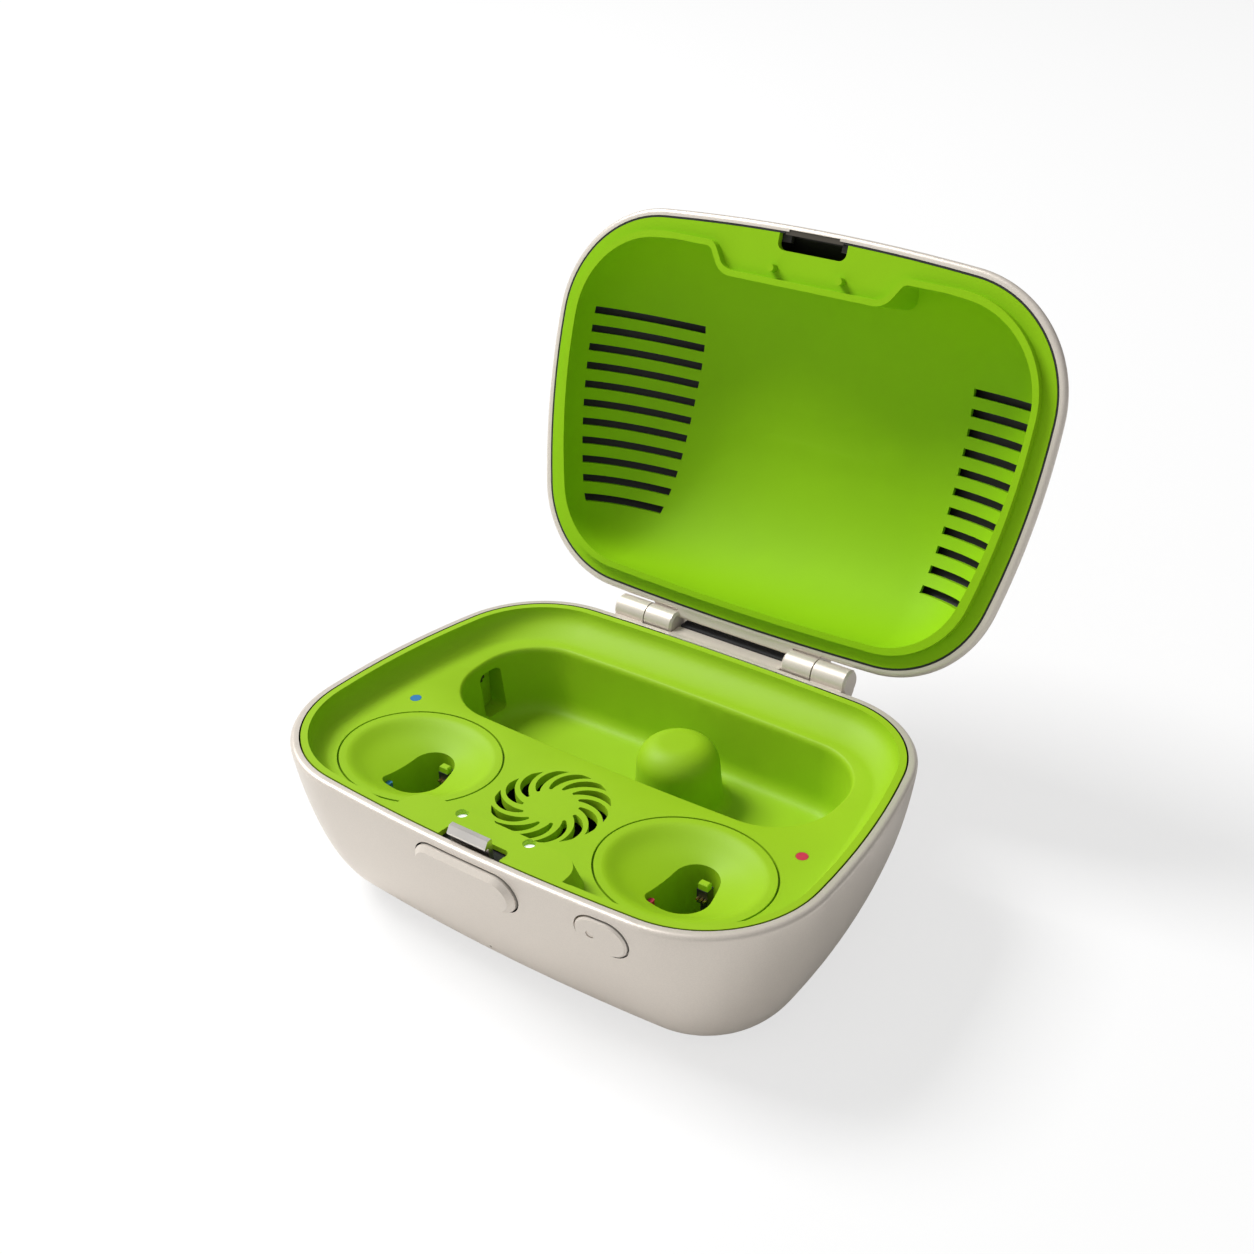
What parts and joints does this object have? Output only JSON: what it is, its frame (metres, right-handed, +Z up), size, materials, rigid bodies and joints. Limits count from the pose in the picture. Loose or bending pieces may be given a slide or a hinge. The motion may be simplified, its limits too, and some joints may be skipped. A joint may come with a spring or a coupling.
{
  "type": "hearing aid dryer",
  "caption": "Clamshell drying and storage case for a pair of hearing aids, with a push latch, power button, drying fan and hinged lid.",
  "frame": {"origin": "centre of the rubber base pad's underside", "axes": "+Z up, +Y from the buttons' side to the hinge, +X to the right as the owner faces the buttons"},
  "size_m": [0.1034, 0.1142, 0.1003],
  "materials": {
    "shell": "satin champagne metallic paint",
    "pad": "matt black rubber",
    "screw": "zinc plated",
    "green": "satin lime green, fine texture",
    "seal": "matt black rubber",
    "guide": "translucent white",
    "fan_plastic": "black moulded",
    "motor": "wound copper and steel",
    "board": "green lacquered laminate",
    "alloy": "plain",
    "cell": "foil pouch",
    "tin": "tin plated",
    "contact_body": "black moulded",
    "gold": "gold plated",
    "blue": "satin blue",
    "red": "satin red",
    "hook": "satin nickel",
    "pin": "ground",
    "light": "frosted clear"
  },
  "bodies": {
    "base": {"base_shell": "shell", "bottom_cover": "shell", "base_pad": "pad", "cover_screws": "screw", "hinge_strip": "pad", "tray": "green", "tray_gasket": "seal", "sensor_guides": "guide", "compartment_clip": "contact_body", "fan_frame": "fan_plastic", "fan_motor": "motor", "main_board": "board", "board_screws": "screw", "heater_plate": "alloy", "battery": "cell", "usb_socket": "tin", "power_switch": "contact_body", "switch_board": "board", "latch_springs": "pin", "hinge_pins": "pin", "well_insert_left": "green", "contact_block_left": "contact_body", "contact_cap_left": "green", "contact_pins_left": "gold", "side_tab_left": "blue", "side_dot_left": "blue", "well_insert_right": "green", "contact_block_right": "contact_body", "contact_cap_right": "green", "contact_pins_right": "gold", "side_tab_right": "red", "side_dot_right": "red"},
    "lid": {"lid_shell": "shell", "lid_liner": "green", "lid_gasket": "seal", "lid_keeper": "hook"},
    "latch": {"latch_button": "shell", "latch_carriage": "fan_plastic", "latch_hook": "hook"},
    "power": {"power_button": "shell", "power_light": "light"},
    "fan": {"fan_rotor": "fan_plastic"}
  },
  "joints": [
    {"name": "lid_hinge", "type": "hinge", "parent": "base", "child": "lid", "pos_m": [0, 0.0387, 0.03015], "axis": [1, 0, 0], "range_deg": [0, 110.4]},
    {"name": "latch_press", "type": "slide", "parent": "base", "child": "latch", "axis": [0, 1, 0], "range_m": [0, 0.001], "stiffness_N_per_m": 1200, "springref_m": -0.0008, "deforming": ["latch_springs"]},
    {"name": "power_press", "type": "slide", "parent": "base", "child": "power", "axis": [0, 1, 0], "range_m": [0, 0.0004], "stiffness_N_per_m": 3000, "springref_m": -0.0003},
    {"name": "fan_spin", "type": "hinge", "parent": "base", "child": "fan", "pos_m": [0, -0.01455, 0.018], "axis": [0, 0, 1], "continuous": true}
  ]
}
